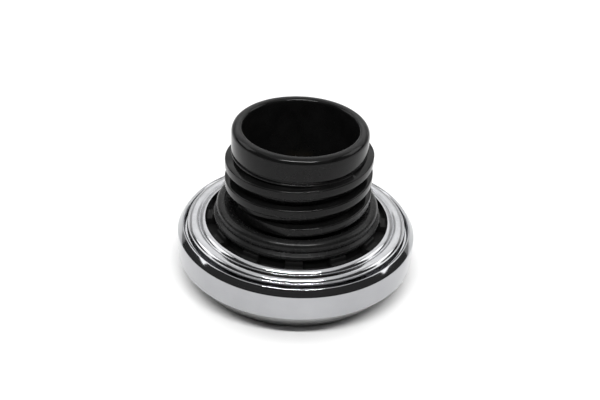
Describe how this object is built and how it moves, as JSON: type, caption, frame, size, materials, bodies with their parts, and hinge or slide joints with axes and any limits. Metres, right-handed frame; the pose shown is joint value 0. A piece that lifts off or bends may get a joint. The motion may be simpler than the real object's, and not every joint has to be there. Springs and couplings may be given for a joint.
{
  "type": "fuel cap",
  "caption": "Round screw-in fuel cap: chrome cover with a beaded rim ring, black threaded neck with a rubber gasket, ratchet drive and breather valve inside.",
  "frame": {"origin": "centre of the crown's flat, on the cap's axis, where the cap lies on a surface", "axes": "+Z along the cap's axis, from the crown to the open end of the neck; the picture looks along +Y"},
  "size_m": [0.08, 0.08, 0.0562],
  "materials": {
    "chrome": "bright chrome plate on pressed sheet",
    "neck_plastic": "satin moulded black nylon",
    "gasket_rubber": "moulded black rubber, faint sheen",
    "inner_nylon": "moulded black nylon",
    "pawl_acetal": "natural acetal",
    "valve_plastic": "moulded black plastic",
    "seal_rubber": "soft black rubber",
    "spring_steel": "bright spring steel",
    "poppet_brass": "turned brass"
  },
  "bodies": {
    "cover": {"cover_shell": "chrome", "rim_ring": "chrome", "ratchet_cup": "inner_nylon", "disc_spring": "spring_steel"},
    "neck": {"threaded_neck": "neck_plastic", "neck_gasket": "gasket_rubber", "pawl_ring": "pawl_acetal", "valve_housing": "valve_plastic", "housing_seal_ring": "seal_rubber", "spring_retainer": "valve_plastic", "pressure_spring": "spring_steel"},
    "pressure_valve": {"pressure_plate": "valve_plastic", "pressure_seal": "seal_rubber", "vacuum_spring": "spring_steel"},
    "vacuum_valve": {"vacuum_poppet": "poppet_brass", "stem_clip": "spring_steel"}
  },
  "joints": [
    {"name": "ratchet_turn", "type": "hinge", "parent": "cover", "child": "neck", "pos_m": [0, 0, 0], "axis": [0, 0, 1], "continuous": true},
    {"name": "pressure_relief", "type": "slide", "parent": "neck", "child": "pressure_valve", "axis": [0, 0, -1], "range_m": [0, 0.0015], "stiffness_N_per_m": 400, "springref_m": -0.004, "deforming": ["pressure_spring"]},
    {"name": "vacuum_relief", "type": "slide", "parent": "pressure_valve", "child": "vacuum_valve", "axis": [0, 0, 1], "range_m": [0, 0.0012], "stiffness_N_per_m": 100, "springref_m": -0.003, "deforming": ["vacuum_spring"]}
  ]
}
